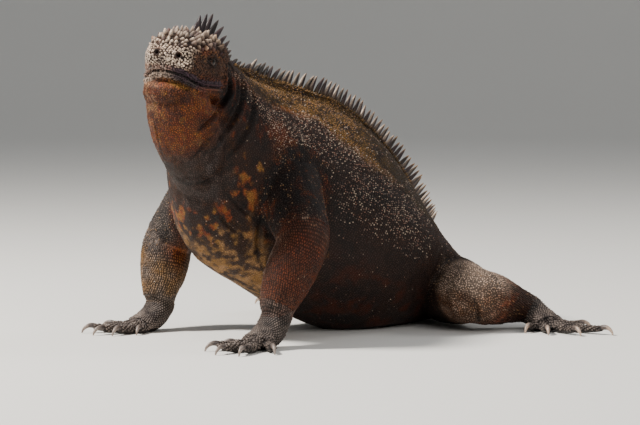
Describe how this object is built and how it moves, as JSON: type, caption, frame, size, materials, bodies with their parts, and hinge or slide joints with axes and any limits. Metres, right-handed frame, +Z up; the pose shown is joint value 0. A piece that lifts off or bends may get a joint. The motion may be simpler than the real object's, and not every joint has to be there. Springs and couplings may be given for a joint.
{
  "type": "marine iguana",
  "caption": "Big lizard resting on its belly with chest and head raised on straight forelegs, a spiny crest down its back and a long curved tail.",
  "frame": {"origin": "on the floor, on the flat that the belly rests on, under the middle of the trunk", "axes": "+Z up, -Y the way the trunk faces, +X the animal's left"},
  "size_m": [0.6789, 0.7246, 0.2613],
  "materials": {
    "head_hide": "dry horny scales",
    "neck_hide": "wrinkled fine scales",
    "trunk_hide": "granular scales",
    "tail_hide": "keeled scales in rings",
    "leg_hide": "keeled scales in rows",
    "foot_hide": "scales across the toes",
    "horn": "worn horn",
    "eye": "wet"
  },
  "bodies": {
    "root": {"head": "head_hide", "neck": "neck_hide", "chest": "trunk_hide", "belly": "trunk_hide", "pelvis": "trunk_hide", "tail_1": "tail_hide", "tail_2": "tail_hide", "tail_3": "tail_hide", "tail_4": "tail_hide", "left_eye": "eye", "right_eye": "eye", "left_upper_arm": "leg_hide", "left_forearm": "leg_hide", "left_hand": "foot_hide", "right_upper_arm": "leg_hide", "right_forearm": "leg_hide", "right_hand": "foot_hide", "left_thigh": "leg_hide", "left_shin": "leg_hide", "left_foot": "foot_hide", "right_thigh": "leg_hide", "right_shin": "leg_hide", "right_foot": "foot_hide", "left_hand_claw_1": "horn", "left_hand_claw_2": "horn", "left_hand_claw_3": "horn", "left_hand_claw_4": "horn", "left_hand_claw_5": "horn", "right_hand_claw_1": "horn", "right_hand_claw_2": "horn", "right_hand_claw_3": "horn", "right_hand_claw_4": "horn", "right_hand_claw_5": "horn", "left_foot_claw_1": "horn", "left_foot_claw_2": "horn", "left_foot_claw_3": "horn", "left_foot_claw_4": "horn", "left_foot_claw_5": "horn", "right_foot_claw_1": "horn", "right_foot_claw_2": "horn", "right_foot_claw_3": "horn", "right_foot_claw_4": "horn", "right_foot_claw_5": "horn"}
  },
  "joints": []
}
